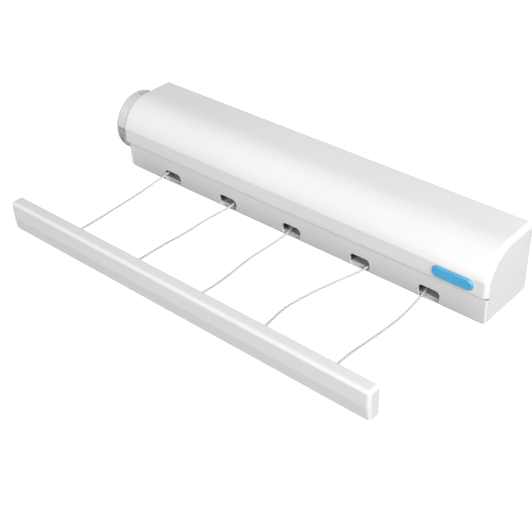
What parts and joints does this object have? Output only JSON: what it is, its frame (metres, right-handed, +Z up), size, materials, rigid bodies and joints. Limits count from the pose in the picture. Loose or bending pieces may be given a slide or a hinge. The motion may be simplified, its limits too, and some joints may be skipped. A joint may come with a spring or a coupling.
{
  "type": "retractable clothesline",
  "caption": "Wall-mounted retractable clothesline: long D-shaped housing with end knob and lock button, lines run out to a pull bar.",
  "frame": {"origin": "on the wall face, at the middle of its bottom edge; Z = 0 is the underside the housing and the bar rest on", "axes": "X along the housing with the knob at the -X end, +Y into the wall, lines run out towards -Y, +Z up"},
  "size_m": [0.3873, 0.191, 0.06],
  "materials": {
    "grey_abs": "fine satin texture, light grey",
    "bar_abs": "fine satin texture, light grey",
    "knob_abs": "satin, light grey",
    "blue_abs": "smooth semi-gloss sky blue",
    "guide_nylon": "smooth, off-white",
    "spool_nylon": "moulded, off-white",
    "acetal": "smooth, dark grey",
    "line_cord": "twisted white cord, three strands",
    "steel": "drawn bright bar",
    "screw_steel": "zinc plated",
    "spring_steel": "blued spring steel",
    "bush_brass": "turned"
  },
  "bodies": {
    "housing": {"base_shell": "grey_abs", "cover": "grey_abs", "end_plate": "grey_abs", "bearing_plate": "grey_abs", "bush_left": "bush_brass", "bush_right": "bush_brass", "case_screws": "screw_steel", "spring_cup": "grey_abs", "spring_cover": "grey_abs", "cup_screws": "screw_steel", "power_spring": "spring_steel", "pawl_pin": "steel", "pawl_spring": "spring_steel", "line_guide_1": "guide_nylon", "line_guide_2": "guide_nylon", "line_guide_3": "guide_nylon", "line_guide_4": "guide_nylon", "line_guide_5": "guide_nylon", "line_1": "line_cord", "line_2": "line_cord", "line_3": "line_cord", "line_4": "line_cord", "line_5": "line_cord"},
    "reel": {"axle": "steel", "spacers": "spool_nylon", "ratchet_wheel": "acetal", "spring_arbor": "spool_nylon", "knob": "knob_abs", "knob_screw": "screw_steel", "knob_cap": "knob_abs", "spool_1": "spool_nylon", "spool_2": "spool_nylon", "spool_3": "spool_nylon", "spool_4": "spool_nylon", "spool_5": "spool_nylon", "wound_line_1": "line_cord", "wound_line_2": "line_cord", "wound_line_3": "line_cord", "wound_line_4": "line_cord", "wound_line_5": "line_cord"},
    "lock_button": {"lock_button": "blue_abs"},
    "pawl": {"pawl": "acetal"},
    "bar": {"bar_shell": "bar_abs", "bar_back": "bar_abs", "bar_eyelets": "guide_nylon", "bar_screws": "screw_steel", "line_knots": "line_cord"}
  },
  "joints": [
    {"name": "bar_pull", "type": "slide", "parent": "housing", "child": "bar", "axis": [0, -1, 0], "range_m": [-0.1215, 3.6126], "deforming": ["line_1", "line_2", "line_3", "line_4", "line_5"]},
    {"name": "reel_turn", "type": "hinge", "parent": "housing", "child": "reel", "pos_m": [0, -0.03, 0.0315], "axis": [1, 0, 0], "range_deg": [-13381, 451], "deforming": ["power_spring"]},
    {"name": "button_press", "type": "slide", "parent": "housing", "child": "lock_button", "axis": [0, 1, 0], "range_m": [0, 0.0025], "stiffness_N_per_m": 600},
    {"name": "pawl_swing", "type": "hinge", "parent": "housing", "child": "pawl", "pos_m": [0.156, -0.0505, 0.0115], "axis": [-1, 0, 0], "range_deg": [-0.5, 8.2], "deforming": ["pawl_spring"]}
  ],
  "couplings": [
    {"joint": "reel_turn", "follows": "bar_pull", "rad_per_m": -64.642},
    {"joint": "pawl_swing", "follows": "button_press", "rad_per_m": 56}
  ]
}
